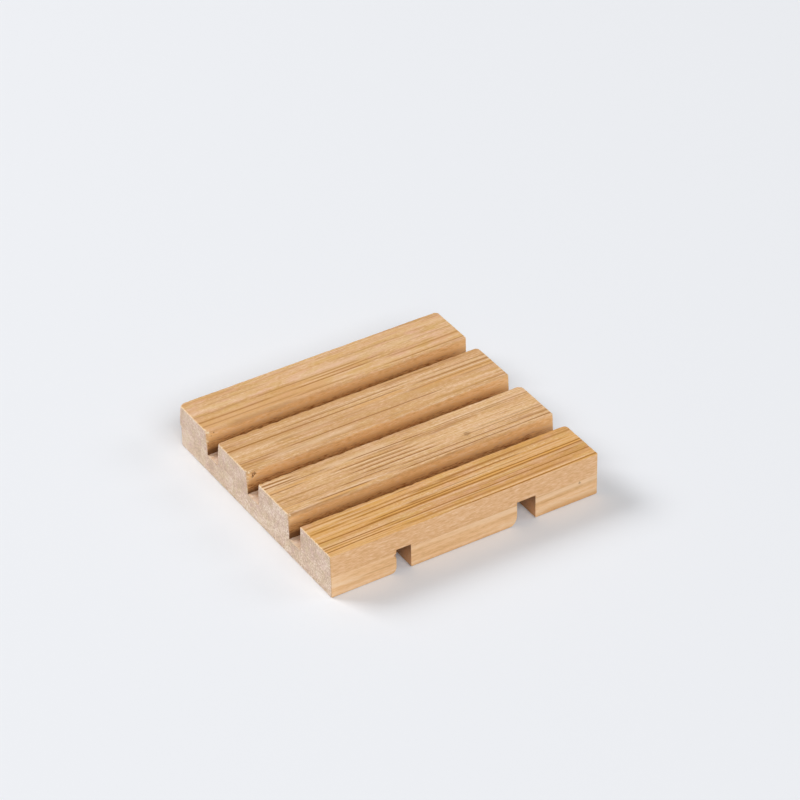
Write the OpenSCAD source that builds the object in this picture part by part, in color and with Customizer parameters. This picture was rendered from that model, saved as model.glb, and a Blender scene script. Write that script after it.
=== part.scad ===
// Soap dish milled from a board of two bamboo plies that are pressed flat and glued.
// The upper ply is cut into four rails by three grooves that run along the grain.
// The lower ply is cut into three feet by two notches that run across the grain.
// Grooves and notches each pass the glue line, so the dish is open where they cross
// and water drains there.
// X runs along the grain to the right, Y to the back and Z up. The origin is in the
// middle of the face that the dish stands on. Pieces are counted from the back.

/* [Board] */
// Length of the dish, along the grain
dish_l = 80; // [72:1:120]
// Thickness of the upper ply
upper_ply_t = 6.5; // [5.5:0.1:9]
// Thickness of the lower ply
lower_ply_t = 6.5; // [5.5:0.1:9]

/* [Rails and grooves] */
// Width of the back rail and of the front rail
outer_rail_w = 15; // [10:0.1:24]
// Width of the two rails between them
inner_rail_w = 15.6; // [10:0.1:24]
// Width of each groove
groove_w = 5.6; // [4.2:0.1:9]
// How far the back groove cuts into the lower ply
back_groove_bite = 0.9; // [0.2:0.1:3]
// How far the middle groove cuts into the lower ply
middle_groove_bite = 0.2; // [0.2:0.1:3]
// How far the front groove cuts into the lower ply
front_groove_bite = 1.1; // [0.2:0.1:3]

/* [Feet and notches] */
// Length of the left foot
left_foot_l = 19.1; // [12:0.1:24]
// Width of the left notch
left_notch_w = 4.3; // [4.2:0.1:8]
// Width of the right notch
right_notch_w = 5.6; // [4.2:0.1:8]
// Length of the right foot
right_foot_l = 19.2; // [12:0.1:24]
// How far the notches cut into the upper ply
notch_bite = 0.8; // [0.2:0.1:2]

/* [Sanded edges] */
// Radius on the long top edges of the rails
rail_edge_r = 0.4; // [0.2:0.1:1.5]
// Radius on the top edges of the two ends
end_edge_r = 0.3; // [0.2:0.1:1.5]
// Radius on the upright edges of the rails beside a groove
groove_mouth_r = 0.2; // [0.2:0.1:1.5]
// Radius on the upright corners of the upper ply
upper_corner_r = 0.4; // [0.2:0.1:3]
// Radius on the upright corners of the lower ply at the front
lower_front_corner_r = 0.4; // [0.2:0.1:3]
// Radius on the upright corners of the lower ply at the back, which stand back under
// the upper ply
lower_back_corner_r = 1; // [0.2:0.1:3]
// Radius on the bottom edges all round and on the left edge of each foot
base_edge_r = 0.5; // [0.2:0.1:1.5]
// Radius on the bottom right edge of the left foot, worn where it faces a notch
left_foot_worn_r = 2.1; // [0.2:0.1:3.5]
// Radius on the bottom right edge of the middle foot, worn where it faces a notch
middle_foot_worn_r = 3; // [0.2:0.1:3.5]

/* [Hidden] */
$fn = 64;
overrun = 1;
upper_ply_colour = "#d5a670";
lower_ply_colour = "#dcbc94";

rail_names = ["rail_back", "rail_mid_back", "rail_mid_front", "rail_front"];
rail_ws = [outer_rail_w, inner_rail_w, inner_rail_w, outer_rail_w];
groove_bites = [back_groove_bite, middle_groove_bite, front_groove_bite];
last_rail = len(rail_names) - 1;
last_groove = len(groove_bites) - 1;

function sum_before(values, n) = n == 0 ? 0 : values[n - 1] + sum_before(values, n - 1);

dish_w = sum_before(rail_ws, len(rail_ws)) + len(groove_bites) * groove_w;
// Middle line of a rail, and of the groove in front of it
function rail_y(i) = dish_w / 2 - sum_before(rail_ws, i) - i * groove_w - rail_ws[i] / 2;
function groove_y(i) = rail_y(i) - rail_ws[i] / 2 - groove_w / 2;

foot_names = ["left_foot", "middle_foot", "right_foot"];
notch_ws = [left_notch_w, right_notch_w];
middle_foot_l = dish_l - left_foot_l - right_foot_l - left_notch_w - right_notch_w;
foot_ls = [left_foot_l, middle_foot_l, right_foot_l];
right_edge_rs = [left_foot_worn_r, middle_foot_worn_r, base_edge_r];
last_foot = len(foot_names) - 1;
// Left end of a foot, and of the notch to the right of it
function foot_x(i) = -dish_l / 2 + sum_before(foot_ls, i) + sum_before(notch_ws, i);
function notch_x(i) = foot_x(i) + foot_ls[i];

// The seams of the lower ply are staggered from those of the upper ply, which the
// grooves have cut away: each lies under the middle line of a rail.
strip_names = ["back", "mid_back", "middle", "mid_front", "front"];
seam_ys = [dish_w / 2, for (i = [0 : last_rail]) rail_y(i), -dish_w / 2];
last_strip = len(strip_names) - 1;
function strip_node(foot, strip) = str(foot_names[foot], "_", strip_names[strip], "_strip");

// What sanding takes off a square corner that lies at the origin, with the wood
// on the side of +X and +Y
module corner_waste(r) {
    difference() {
        translate([-overrun, -overrun]) square(r + overrun);
        translate([r, r]) circle(r);
    }
}

// A rectangle from low to high, with a radius for each corner in the order
// low left, low right, high right, high left; zero leaves a corner square
module sanded_rectangle(low, high, radii) {
    difference() {
        translate(low) square(high - low);
        if (radii[0] > 0) translate(low) corner_waste(radii[0]);
        if (radii[1] > 0) translate([high[0], low[1]]) mirror([1, 0]) corner_waste(radii[1]);
        if (radii[2] > 0) translate(high) mirror([1, 0]) mirror([0, 1]) corner_waste(radii[2]);
        if (radii[3] > 0) translate([low[0], high[1]]) mirror([0, 1]) corner_waste(radii[3]);
    }
}

// Carries a section drawn in Y and Z along the whole length of the dish
module along_grain() {
    rotate([90, 0, 90]) linear_extrude(dish_l, center = true) children();
}

// Carries a side view drawn in X and Z across the whole width of the dish
module across_grain() {
    rotate([90, 0, 0]) linear_extrude(dish_w, center = true) children();
}

// Section of one rail, with its long top edges eased
module rail_section(i) {
    half_w = rail_ws[i] / 2;
    translate([rail_y(i), lower_ply_t])
        sanded_rectangle([-half_w, 0], [half_w, upper_ply_t], [0, 0, rail_edge_r, rail_edge_r]);
}

// Side view of a rail: eased ends, and the shallow cut that each notch leaves below
module rail_side() {
    difference() {
        translate([0, lower_ply_t])
            sanded_rectangle([-dish_l / 2, 0], [dish_l / 2, upper_ply_t], [0, 0, end_edge_r, end_edge_r]);
        for (i = [0 : last_foot - 1])
            translate([notch_x(i), lower_ply_t - overrun])
                square([notch_ws[i], notch_bite + overrun]);
    }
}

// Plan of a rail: its corners are corners of the dish or mouths of a groove
module rail_plan(i) {
    half_w = rail_ws[i] / 2;
    back_r = i == 0 ? upper_corner_r : groove_mouth_r;
    front_r = i == last_rail ? upper_corner_r : groove_mouth_r;
    translate([0, rail_y(i)])
        sanded_rectangle([-dish_l / 2, -half_w], [dish_l / 2, half_w], [front_r, front_r, back_r, back_r]);
}

// One rail: what is left of a strip of the upper ply
module rail(i) {
    color(upper_ply_colour)
        intersection() {
            along_grain() rail_section(i);
            across_grain() rail_side();
            linear_extrude(lower_ply_t + upper_ply_t) rail_plan(i);
        }
}

// Section of one strip of the lower ply, between its seams and under the grooves
module strip_section(strip) {
    back_r = strip == 0 ? base_edge_r : 0;
    front_r = strip == last_strip ? base_edge_r : 0;
    difference() {
        sanded_rectangle([seam_ys[strip + 1], 0], [seam_ys[strip], lower_ply_t], [front_r, back_r, 0, 0]);
        for (i = [0 : last_groove])
            translate([groove_y(i) - groove_w / 2, lower_ply_t - groove_bites[i]])
                square([groove_w, groove_bites[i] + overrun]);
    }
}

// Side view of one foot, with its right edge worn rounder where it faces a notch
module foot_side(foot) {
    sanded_rectangle([foot_x(foot), 0], [foot_x(foot) + foot_ls[foot], lower_ply_t],
        [base_edge_r, right_edge_rs[foot], 0, 0]);
}

// Plan of the lower ply
module lower_plan() {
    front_r = lower_front_corner_r;
    back_r = lower_back_corner_r;
    sanded_rectangle([-dish_l / 2, -dish_w / 2], [dish_l / 2, dish_w / 2],
        [front_r, front_r, back_r, back_r]);
}

// One block of a foot: what is left of a strip of the lower ply between two notches
module foot_strip(foot, strip) {
    color(lower_ply_colour)
        intersection() {
            along_grain() strip_section(strip);
            across_grain() foot_side(foot);
            linear_extrude(lower_ply_t) lower_plan();
        }
}

for (i = [0 : last_rail])
    rail(i);
for (foot = [0 : last_foot], strip = [0 : last_strip])
    foot_strip(foot, strip);
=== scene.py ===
"""Looks of a small soap dish milled from a board of two bamboo plies.

Every strip of bamboo that the milling leaves is a piece of its own: four rails above, and the
blocks of three feet below. Each is a closed surface worked out with numpy from the place of its
CAD node, with eased edges, raised grain and torn fibre at the mouths of the grooves. The bamboo
is one solid pattern that runs through a whole strip, so it shows long streaks along the grain
and dots where a cut crosses it.

Sizes are in millimetres until a mesh is made; X runs along the grain, Y to the back and Z up.
"""
import math

import bpy
import numpy as np
from mathutils import Matrix, Vector


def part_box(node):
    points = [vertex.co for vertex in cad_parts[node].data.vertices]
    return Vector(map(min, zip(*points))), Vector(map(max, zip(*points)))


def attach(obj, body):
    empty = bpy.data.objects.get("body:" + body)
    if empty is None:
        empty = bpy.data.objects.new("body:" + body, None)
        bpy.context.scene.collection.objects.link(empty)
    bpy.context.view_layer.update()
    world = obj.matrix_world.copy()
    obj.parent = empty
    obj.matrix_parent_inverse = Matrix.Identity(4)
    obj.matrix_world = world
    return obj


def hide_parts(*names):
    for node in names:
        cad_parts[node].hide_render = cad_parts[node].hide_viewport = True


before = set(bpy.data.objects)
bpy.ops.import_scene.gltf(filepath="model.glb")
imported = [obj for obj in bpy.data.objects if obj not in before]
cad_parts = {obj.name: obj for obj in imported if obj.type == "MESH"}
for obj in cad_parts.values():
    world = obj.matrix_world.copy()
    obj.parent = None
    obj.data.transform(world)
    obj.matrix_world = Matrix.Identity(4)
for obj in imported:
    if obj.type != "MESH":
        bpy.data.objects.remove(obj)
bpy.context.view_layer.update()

# A millimetre in metres, and the slack in millimetres when places are compared
MM = 0.001
TINY = 0.02

# Nodes of the frame, counted from the back and from the left
RAILS = ["rail_back", "rail_mid_back", "rail_mid_front", "rail_front"]
FEET = ["left_foot", "middle_foot", "right_foot"]
STRIPS = ["back", "mid_back", "middle", "mid_front", "front"]

# Radii of the sanded edges
RAIL_EDGE_R = 0.4
END_EDGE_R = 0.3
GROOVE_MOUTH_R = 0.2
UPPER_CORNER_R = 0.4
LOWER_FRONT_CORNER_R = 0.4
LOWER_BACK_CORNER_R = 1.0
BASE_EDGE_R = 0.5
# Right edge of each foot, from the left: the first two are worn where they face a notch
RIGHT_EDGE_RS = [2.1, 3.0, BASE_EDGE_R]

# Wear, for the rails from the back. The front edges of the first three are rounder, the upright
# corners are rounder towards the top, and fibre has torn out of the mouths of the grooves.
FRONT_EDGE_RS = [0.75, 0.7, 0.65, RAIL_EDGE_R]
LEFT_BACK_CORNER_RS = [1.7, 1.3, 0.8, 0.5]
LEFT_FRONT_CORNER_RS = [1.9, 1.9, 1.4, 0.5]
RIGHT_BACK_CORNER_RS = [1.2, 1.4, 1.7, 1.5]
RIGHT_FRONT_CORNER_RS = [0.3, 0.7, 0.7, 0.4]
BACK_CORNER_RISE = 2.5
FRONT_CORNER_RISE = 1.0
# Bites, each as its place along the dish, how far it reaches to either side and its depth
BACK_EDGE_BITES = [
    [],
    [(-38.2, 0.8, 0.3), (-31.6, 0.8, 0.45), (-27.0, 0.7, 0.5), (-25.5, 0.5, 0.3), (-22.0, 0.9, 0.4),
     (-12.4, 0.8, 0.35), (-9.0, 0.6, 0.25), (2.5, 1.5, 0.2), (24.8, 0.7, 0.4), (32.6, 0.6, 0.3)],
    [(-38.6, 0.5, 0.3), (-36.5, 0.6, 0.35), (-34.2, 0.6, 0.3), (-30.8, 1.1, 0.45), (-23.0, 0.8, 0.4),
     (-15.2, 1.3, 0.4), (-3.8, 0.8, 0.35), (10.5, 1.5, 0.2), (27.0, 0.7, 0.2)],
    [(-37.0, 0.9, 0.3), (-28.0, 1.2, 0.35), (-20.5, 0.9, 0.35), (-13.0, 1.0, 0.3), (-7.2, 0.8, 0.4),
     (6.0, 1.2, 0.2), (21.0, 0.8, 0.2)],
]
FRONT_EDGE_BITES = [
    [(-34.0, 4.0, 0.5), (-27.0, 3.0, 0.35), (-15.0, 5.0, 0.3), (2.0, 2.0, 0.25)],
    [(-36.0, 2.0, 0.3), (-30.0, 1.5, 0.25), (12.0, 2.0, 0.2)],
    [(-35.0, 3.0, 0.4), (-26.0, 4.0, 0.3), (-12.0, 2.0, 0.2), (18.0, 3.0, 0.25)],
    [],
]
# Pits in the front wall of the mid back rail, each as its place along the dish, its level and
# its radius
PITS = [(-38.0, 11.8, 0.35), (-38.2, 11.1, 0.2)]
PIT_DEPTH = 0.5
# A chip out of the front of the left foot where it faces the notch
CHIP_LEVEL = 5.5
CHIP_R = 0.55
CHIP_DEPTH = 0.4
# How much an eased edge and a worn corner wander, and the longest and the shortest wave of it
EDGE_SWING = 0.25
EDGE_WAVES = (30, 1.2)
CORNER_SWING = 0.2
CORNER_WAVES = (4, 0.8)
# Raised grain: its depth, the longest and the shortest of its waves, the range of lengths over
# which they drift by one wave, and the highest phase at which they start
GRAIN_DEPTH = 0.03
GRAIN_WAVES = (3.0, 0.5)
GRAIN_DRIFT = (60, 200)
GRAIN_PHASE = 6.3
# Angle in degrees past which an edge is drawn sharp
SHARP_ANGLE = 40

# How finely a surface is cut: along the grain, across it, upright, and near an edge, towards
# which the points crowd by a power
ALONG_STEP = 0.4
ACROSS_STEP = 0.2
UPRIGHT_STEP = 0.3
RIM = 1.0
RIM_STEP = 0.1
RIM_CROWDING = 1.5
END_RIM = 2.0
END_RIM_STEP = 0.15
FOOT_STEP = 0.5
FOOT_RIM = 1.5
FOOT_RIM_STEP = 0.15
# Rows of points up the wall of a cut, and how far each leans off the one before
WALL_STEPS = 3
WALL_LEAN = 0.02


# Places read from the frame

def extent(node):
    """Lowest and highest corner of a node, in millimetres."""
    low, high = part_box(node)
    return np.array(low) / MM, np.array(high) / MM


def corners_of(node):
    """All corners of a node's mesh, in millimetres, one row each."""
    points = np.empty(len(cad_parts[node].data.vertices) * 3, np.float32)
    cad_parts[node].data.vertices.foreach_get("co", points)
    return points.reshape(-1, 3).astype(float) / MM


def level_of_cut(node, axis, start, end, above, below):
    """Highest level that the node's corners have over a cut, between two levels."""
    points = corners_of(node)
    over = (points[:, axis] > start - TINY) & (points[:, axis] < end + TINY)
    between = (points[:, 2] > above + TINY) & (points[:, 2] < below - TINY)
    return points[over & between, 2].max()


rail_boxes = [extent(node) for node in RAILS]
foot_boxes = [extent(f"{foot}_middle_strip") for foot in FEET]
GLUE_Z = rail_boxes[0][0][2]
TOP_Z = rail_boxes[0][1][2]
DISH_END = rail_boxes[0][1][0]

# A groove lies between two rails and a notch between two feet: where each starts and ends
GROOVES = [(front[1][1], back[0][1]) for back, front in zip(rail_boxes, rail_boxes[1:])]
NOTCHES = [(left[1][0], right[0][0]) for left, right in zip(foot_boxes, foot_boxes[1:])]


# Stations and closed block surfaces

def graded(low, high, step, rim=RIM, rim_step=RIM_STEP):
    """Stations from low to high: rim_step apart on average within rim of each end, and
    closer towards the end, and about step apart between the two rims."""
    count = max(1, round((high - low - 2 * rim) / step))
    rim_count = round(rim / rim_step)
    start = rim * (np.arange(rim_count) / rim_count) ** RIM_CROWDING
    middle = np.linspace(rim, high - low - rim, count + 1)
    return np.concatenate([low + start, low + middle, high - start[::-1]])


def stepped(low, high, level, cuts, step, rim, rim_step):
    """A line from low to high at one level that takes a cut's own level between the cut's
    walls: its places, its levels, and the places of the block's far side, which lean off
    each wall into the wood so that they always rise."""
    walls = [low]
    span_levels = [level]
    for cut_start, cut_end, cut_level in cuts:
        walls += [cut_start, cut_end]
        span_levels += [cut_level, level]
    walls.append(high)
    leans = WALL_LEAN * np.arange(1, WALL_STEPS)
    farthest = WALL_LEAN * WALL_STEPS
    places, levels, far = [], [], []
    for n, (start, end) in enumerate(zip(walls, walls[1:])):
        in_cut = n % 2 == 1
        if n > 0:
            places.append(np.full(len(leans), start))
            levels.append(np.linspace(span_levels[n - 1], span_levels[n], WALL_STEPS + 1)[1:-1])
            far.append(start - leans[::-1] if in_cut else start + leans)
        span = graded(start, end, step, rim, rim_step)
        places.append(span)
        levels.append(np.full(len(span), span_levels[n]))
        far.append(span.copy())
        if not in_cut and start > low:
            far[-1][0] += farthest
        if not in_cut and end < high:
            far[-1][-1] -= farthest
    return np.concatenate(places), np.concatenate(levels), np.concatenate(far)


def closed_block(x_low, z_low, x_high, y_low, y_high, z_high, shares):
    """Points and faces of a closed block. Its underside is the line (x_low, z_low) carried
    across the grain, its top is the line (y_high, z_high) carried along it, and a point
    between them lies its height share of the way from the one to the other."""
    size = (len(x_low), len(y_low), len(shares))
    skin = np.ones(size, bool)
    skin[1:-1, 1:-1, 1:-1] = False
    ids = np.full(size, -1)
    ids[skin] = np.arange(skin.sum())
    i, j, k = np.nonzero(skin)
    share = shares[k]
    points = np.stack([
        x_low[i] + share * (x_high[i] - x_low[i]),
        y_low[j] + share * (y_high[j] - y_low[j]),
        z_low[i] + share * (z_high[j] - z_low[i]),
    ], axis=1)
    # Each side as rows and columns of ids, turned so that its faces point outwards
    sides = [ids[:, :, -1], ids[:, :, 0].T, ids[:, 0, :], ids[:, -1, :].T, ids[0].T, ids[-1]]
    faces = [
        np.stack([s[:-1, :-1], s[1:, :-1], s[1:, 1:], s[:-1, 1:]], axis=-1).reshape(-1, 4)
        for s in sides
    ]
    return points, np.concatenate(faces)


# Shaping

def wave(places, seed, longest, shortest, count=12):
    """A smooth random curve within -1 to 1: the mean of sine waves of random phase whose
    lengths run from the longest to the shortest, scaled up by the root of their count."""
    draw = np.random.default_rng(seed)
    lengths = np.geomspace(longest, shortest, count)[:, None]
    phases = draw.uniform(0, 2 * math.pi, count)[:, None]
    total = np.sin(2 * math.pi * places[None, :] / lengths + phases).sum(axis=0)
    return np.clip(total / math.sqrt(2 * count), -1, 1)


def ease(points, axes, edge, inward, radius):
    """Rounds one edge, in place. In the square beside the edge, with the radius as its
    side, square rings about the inner corner become round ones of the same size."""
    a, b = axes
    from_a = (points[:, a] - edge[0]) * inward[0]
    from_b = (points[:, b] - edge[1]) * inward[1]
    in_a = radius - from_a
    in_b = radius - from_b
    near = (in_a > 0) & (in_b > 0)
    ring = np.maximum(in_a[near], in_b[near]) / np.hypot(in_a[near], in_b[near])
    reach = radius[near]
    points[near, a] = edge[0] + inward[0] * (reach - in_a[near] * ring)
    points[near, b] = edge[1] + inward[1] * (reach - in_b[near] * ring)


def worn(radius, places, seed, bites=()):
    """The radius along an edge: it wanders with a smooth random curve, and grows by a bell
    curve of the place at each bite where fibre has torn out."""
    total = radius * (1 + EDGE_SWING * wave(places, seed, *EDGE_WAVES))
    for centre, reach, depth in bites:
        total = total + depth * np.exp(-(((places - centre) / reach) ** 2))
    return total


def normals_of(points, faces):
    """Unit normals at the points: the sum of the normals of the faces that meet there."""
    across = points[faces[:, 2]] - points[faces[:, 0]]
    over = points[faces[:, 3]] - points[faces[:, 1]]
    face_normals = np.cross(across, over)
    normals = np.zeros_like(points)
    for corner in range(4):
        np.add.at(normals, faces[:, corner], face_normals)
    return normals / np.linalg.norm(normals, axis=1, keepdims=True)


def raised_grain(points, seed, count=18):
    """How deep the softer wood between the fibres lies: the sum of sine waves across the
    grain whose phase drifts slowly along it, scaled down and held within 0 and the depth."""
    draw = np.random.default_rng(seed)
    lengths = np.geomspace(*GRAIN_WAVES, count)
    turns = draw.uniform(0, 2 * math.pi, count)
    drift = draw.uniform(*GRAIN_DRIFT, count) * draw.choice([-1, 1], count)
    phases = draw.uniform(0, GRAIN_PHASE, count)
    total = np.zeros(len(points))
    for length, turn, phase, slide in zip(lengths, turns, phases, drift):
        across = points[:, 1] * math.cos(turn) + points[:, 2] * math.sin(turn)
        total += np.sin(2 * math.pi * (across / length + points[:, 0] / slide) + phase)
    return GRAIN_DEPTH * np.clip(0.5 + total / (2 * math.sqrt(count)), 0, 1)


def dent(points, centre, radius, depth):
    """Depth of a round pit: a bell curve of the distance from its centre."""
    distance = np.linalg.norm(points - np.array(centre), axis=1)
    return depth * np.exp(-((distance / radius) ** 2))


def make_piece(name, points, faces, material, node):
    """Makes the mesh in metres, and has it ride with the dish in place of its CAD node."""
    mesh = bpy.data.meshes.new(name)
    mesh.from_pydata((points * MM).tolist(), [], faces.tolist())
    mesh.shade_smooth()
    mesh.set_sharp_from_angle(angle=math.radians(SHARP_ANGLE))
    mesh.materials.append(material)
    piece = bpy.data.objects.new(name, mesh)
    bpy.context.scene.collection.objects.link(piece)
    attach(piece, "root")
    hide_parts(node)
    return piece


# Values that change over a surface, and the nodes that make them

class Value:
    """A number, a vector or a colour that changes over the surface: an output of a node. A
    formula of such numbers is written as a formula, and each step of it is a math node."""

    def __init__(self, socket):
        self.socket = socket

    def __add__(self, other):
        return calc("ADD", self, other)

    def __sub__(self, other):
        return calc("SUBTRACT", self, other)

    def __rsub__(self, other):
        return calc("SUBTRACT", other, self)

    def __mul__(self, other):
        return calc("MULTIPLY", self, other)

    def __truediv__(self, other):
        return calc("DIVIDE", self, other)

    def __neg__(self):
        return calc("MULTIPLY", self, -1.0)

    def __abs__(self):
        return calc("ABSOLUTE", self)


def tree_of(*values):
    """The node tree of the first of the values that isn't a constant."""
    return next(value.socket.id_data for value in values if isinstance(value, Value))


def outputs_of(node):
    """All that a node puts out, by name."""
    return {socket.name: Value(socket) for socket in node.outputs}


def feed(node, inputs):
    """Links values to a node's sockets, by name or number, and sets the constants there."""
    for key, value in inputs.items():
        if isinstance(value, Value):
            node.id_data.links.new(value.socket, node.inputs[key])
        else:
            node.inputs[key].default_value = value


def put(tree, kind, inputs, **settings):
    """Adds a node with its settings, and feeds its sockets."""
    node = tree.nodes.new(kind)
    for key, value in settings.items():
        setattr(node, key, value)
    feed(node, inputs)
    return node


def calc(operation, *values, use_clamp=False):
    """One step of a formula."""
    node = put(tree_of(*values), "ShaderNodeMath", dict(enumerate(values)),
               operation=operation, use_clamp=use_clamp)
    return Value(node.outputs[0])


def highest(first, second):
    """The higher of two numbers."""
    return calc("MAXIMUM", first, second)


def held(number):
    """The number, held within 0 and 1."""
    return calc("ADD", number, 0.0, use_clamp=True)


def fade(number, low, high):
    """A smooth change from 0 at low to 1 at high."""
    node = put(tree_of(number), "ShaderNodeMapRange",
               {"Value": number, "From Min": low, "From Max": high}, interpolation_type="SMOOTHSTEP")
    return Value(node.outputs[0])


def broken_up(mask, pattern, swing, level):
    """The mask times a level, which swings up and down with a pattern around nothing."""
    return held(mask * (pattern * swing + level))


def blend(share, first, second):
    """A colour that is the share of the way from the first to the second, where a share below
    0 counts as 0 and one above 1 as 1. The node's sockets 6 and 7 are its two colours."""
    node = put(tree_of(share), "ShaderNodeMix", {"Factor": share, 6: first, 7: second}, data_type="RGBA")
    return Value(node.outputs[2])


def toned(colour, tone, above, below):
    """The colour, turned towards one where the tone is above nothing and to another below."""
    return blend(-tone, blend(tone, colour, above), below)


def split(vector):
    """The three parts of a vector."""
    return [Value(part) for part in put(tree_of(vector), "ShaderNodeSeparateXYZ", {0: vector}).outputs]


def stretch(place, along, across, upright):
    """The place divided by a length for each axis."""
    node = put(tree_of(place), "ShaderNodeVectorMath",
               {0: place, 1: (1 / along, 1 / across, 1 / upright)}, operation="MULTIPLY")
    return Value(node.outputs[0])


def mapped(place, **inputs):
    """The place scaled, then turned and then moved."""
    node = put(tree_of(place), "ShaderNodeMapping", {"Vector": place, **inputs})
    return Value(node.outputs[0])


def noise(place, detail=2.0, roughness=0.5):
    """Soft noise from 0 to 1."""
    node = put(tree_of(place), "ShaderNodeTexNoise",
               {"Vector": place, "Scale": 1.0, "Detail": detail, "Roughness": roughness})
    return Value(node.outputs[0])


NUMBER, VECTOR, COLOUR = "NodeSocketFloat", "NodeSocketVector", "NodeSocketColor"


def new_group(name, inputs, outputs):
    """An empty node group with named sockets, what it is given, and the node that takes what
    it makes. A socket is a name with its kind, and an input also has its value."""
    group = bpy.data.node_groups.new(name, "ShaderNodeTree")
    for label, kind, value in inputs:
        socket = group.interface.new_socket(label, in_out="INPUT", socket_type=kind)
        socket.default_value = value
    for label, kind in outputs:
        group.interface.new_socket(label, in_out="OUTPUT", socket_type=kind)
    given = outputs_of(group.nodes.new("NodeGroupInput"))
    return group, given, group.nodes.new("NodeGroupOutput")


def use_group(tree, group, inputs):
    """Places a node group in a tree, and returns what it puts out."""
    return outputs_of(put(tree, "ShaderNodeGroup", inputs, node_tree=group))


# The bamboo's figure

# Soft noises of the figure: how far each runs along the grain, across it and upwards, and its
# detail and roughness
FIGURE_NOISES = {
    "fine streaks": ((32, 0.36, 1.3), 2, 0.6),
    "coarse streaks": ((45, 1.3, 3.0), 1, 0.5),
    "bands": ((50, 4.5, 4.5), 1, 0.5),
    "line breaks": ((13, 1.1, 3), 1, 0.5),
    "dashes": ((1.8, 0.3, 0.3), 2, 0.6),
    "pores": ((3, 0.5, 0.5), 3, 0.7),
    "specks": ((1.3, 0.28, 0.28), 2, 0.7),
    "tints": ((6, 1.8, 1.6), 2, 0.5),
    "whirls": ((8, 7, 4), 1, 0.5),
}
# Those that the figure puts out as they are
PLAIN_PARTS = ["bands", "dashes", "pores", "specks", "tints", "whirls"]
NOISE_MIDDLE = 0.5
FINE_STREAK_SHARE = 0.68
# Thin lines: how far they run along the grain and upwards, how close to its middle value their
# noise has to be, and the values of the breaks between which a line comes in
LINE_RUN = 90.0
LINE_RISE = 4.0
LINE_NEARNESS = 0.05
LINE_COMES_IN = (0.44, 0.62)
# Bundles of fibre: how far they run and how far apart they are, and the distances from the
# middle of a bundle between which its dot comes in
BUNDLE_GAPS = (30, 0.75, 0.75)
DOT_COMES_IN = (0.45, 0.15)
# Length over which a chosen line fades in or out
LINE_TAPER = 6.0


def bamboo_figure_group():
    """What bamboo shows where it is cut, as a solid pattern with its fibres along X: fine
    streaks, broad bands, thin lines that come and go, short dashes, dots and specks."""
    labels = ["Streaks", "Lines", "Dots"] + [part.capitalize() for part in PLAIN_PARTS]
    tree, given, made = new_group("bamboo figure", [
        ("Place", VECTOR, (0, 0, 0)),
        ("Line gap", NUMBER, 1.5),
    ], [(label, NUMBER) for label in labels])
    place = given["Place"]
    soft = {
        part: noise(stretch(place, *lengths), detail, roughness)
        for part, (lengths, detail, roughness) in FIGURE_NOISES.items()
    }
    # A thin line is where a slow noise passes its middle value
    x, y, z = split(place)
    strand = put(tree, "ShaderNodeCombineXYZ", {0: x / LINE_RUN, 1: y / given["Line gap"], 2: z / LINE_RISE})
    level = abs(noise(Value(strand.outputs[0]), detail=1) - NOISE_MIDDLE)
    bundles = put(tree, "ShaderNodeTexVoronoi",
                  {"Vector": stretch(place, *BUNDLE_GAPS), "Scale": 1.0, "Randomness": 1.0})
    fine, coarse = soft["fine streaks"], soft["coarse streaks"]
    feed(made, {
        "Streaks": fine * FINE_STREAK_SHARE + coarse * (1 - FINE_STREAK_SHARE),
        "Lines": fade(level, LINE_NEARNESS, 0.0) * fade(soft["line breaks"], *LINE_COMES_IN),
        "Dots": fade(Value(bundles.outputs["Distance"]), *DOT_COMES_IN),
    })
    feed(made, {part.capitalize(): soft[part] for part in PLAIN_PARTS})
    return tree


def grain_line_group():
    """One dark line of the grain at a chosen place across the strip, which fades in after its
    start and out before its end."""
    tree, given, made = new_group("grain line", [
        ("Along", NUMBER, 0.0),
        ("Track", NUMBER, 0.0),
        ("Across", NUMBER, 0.0),
        ("Start", NUMBER, -10.0),
        ("End", NUMBER, 10.0),
        ("Width", NUMBER, 0.4),
        ("Strength", NUMBER, 0.5),
    ], [("Mask", NUMBER)])
    along, start, end = given["Along"], given["Start"], given["End"]
    mask = fade(abs(given["Track"] - given["Across"]), given["Width"], 0.0)
    mask = mask * fade(along, start, start + LINE_TAPER) * fade(along, end, end - LINE_TAPER)
    feed(made, {"Mask": mask * given["Strength"]})
    return tree


# Milled bamboo. A pair of values is a range that something changes over.

# How much of the surface's normal points to an end, to a side or up where the surface starts to
# count as such, and where it is an edge between the two
END_FACING = (0.75, 0.97)
SIDE_FACING = (0.5, 0.9)
FLOOR_FACING = (0.0, 0.5)
EDGE_STARTS = (0.2, 0.45)
EDGE_STOPS = (0.97, 0.85)
END_EDGE_FACING = (0.1, 0.35)
LONG_EDGE_FACING = (0.1, 0.3)

# Levels between which painted shade, with some cutter burn, darkens the walls of the grooves, and then a
# painted contact shadow at their foot
WALL_DARKENS = (11.7, 8.4)
FOOT_DARKENS = (8.4, 6.4)
# How the line at which the walls start rises to the right and wanders, and the levels above and
# below it between which flat wood turns to wall
WALL_TOP_SLOPE = 0.006
WALL_TOP_WANDER = 0.45
WALL_STARTS = (0.35, -0.45)
# Length over which a groove lets light in at its right end, and how much less dark it is there
OPEN_END = 7.0
OPEN_END_LIGHT = 0.45
# The painted shadow line that lies on a groove's floor along its back wall: how far from the wall and how
# far from the ends of the dish it changes
FLOOR_SHADOW_FADES = (1.1, 0.3)
FLOOR_SHADOW_STARTS = (2.5, 5.5)
# Levels between which the pale band of the lower ply's front comes in, and how far under the
# glue it has come in fully
PALE_BAND_STARTS = (4.3, 5.0)
PALE_BAND_TOP = 0.3
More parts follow.
